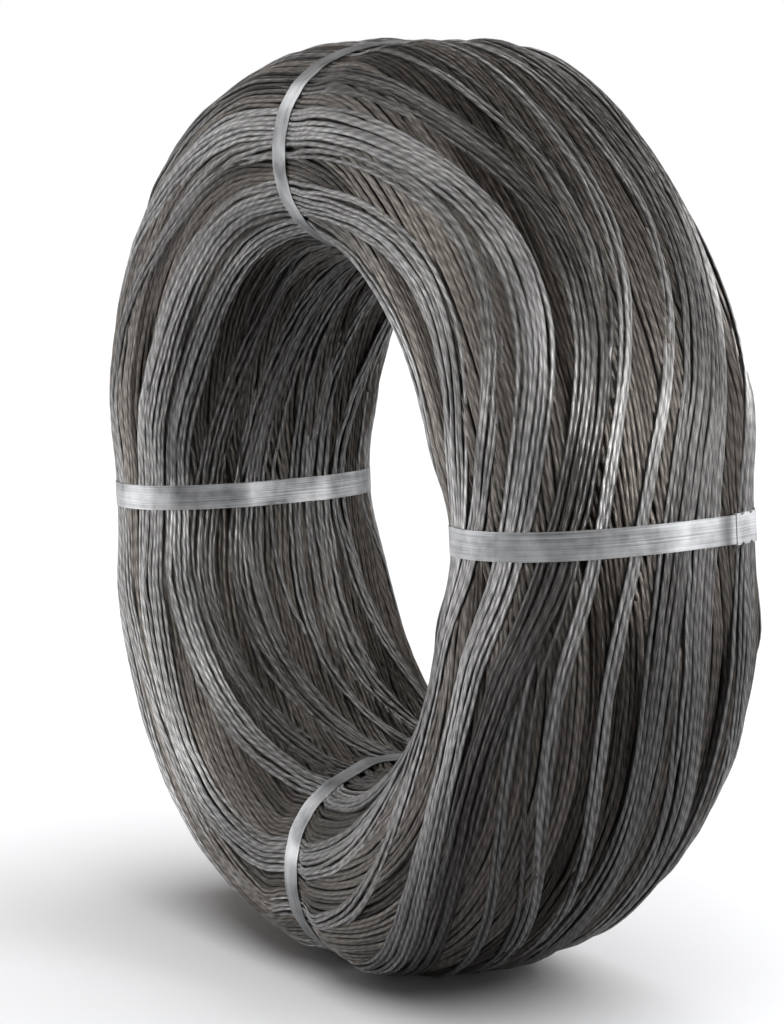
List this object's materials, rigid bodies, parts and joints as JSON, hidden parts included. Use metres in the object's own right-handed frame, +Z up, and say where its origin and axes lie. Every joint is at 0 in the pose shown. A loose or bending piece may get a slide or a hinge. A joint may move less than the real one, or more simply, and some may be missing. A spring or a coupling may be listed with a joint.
{
  "type": "coil of wire rod",
  "caption": "Thick ring of wound steel wire rod, tied with flat steel straps and crimped seals, standing on its rim.",
  "frame": {"origin": "on the floor, below the middle of the coil", "axes": "+Y along the coil's axis, from its front end to its back end, and +Z up"},
  "size_m": [1.1421, 0.3774, 1.142],
  "materials": {
    "wire_rod": "dark grey drawn steel with a satin sheen",
    "strap_steel": "bright galvanised strip, brushed along its length",
    "seal_steel": "bright galvanised sheet, crimped"
  },
  "bodies": {
    "root": {"rod_coil": "wire_rod", "strap_top": "strap_steel", "seal_top": "seal_steel", "strap_right": "strap_steel", "seal_right": "seal_steel", "strap_bottom": "strap_steel", "seal_bottom": "seal_steel", "strap_left": "strap_steel", "seal_left": "seal_steel"}
  },
  "joints": []
}
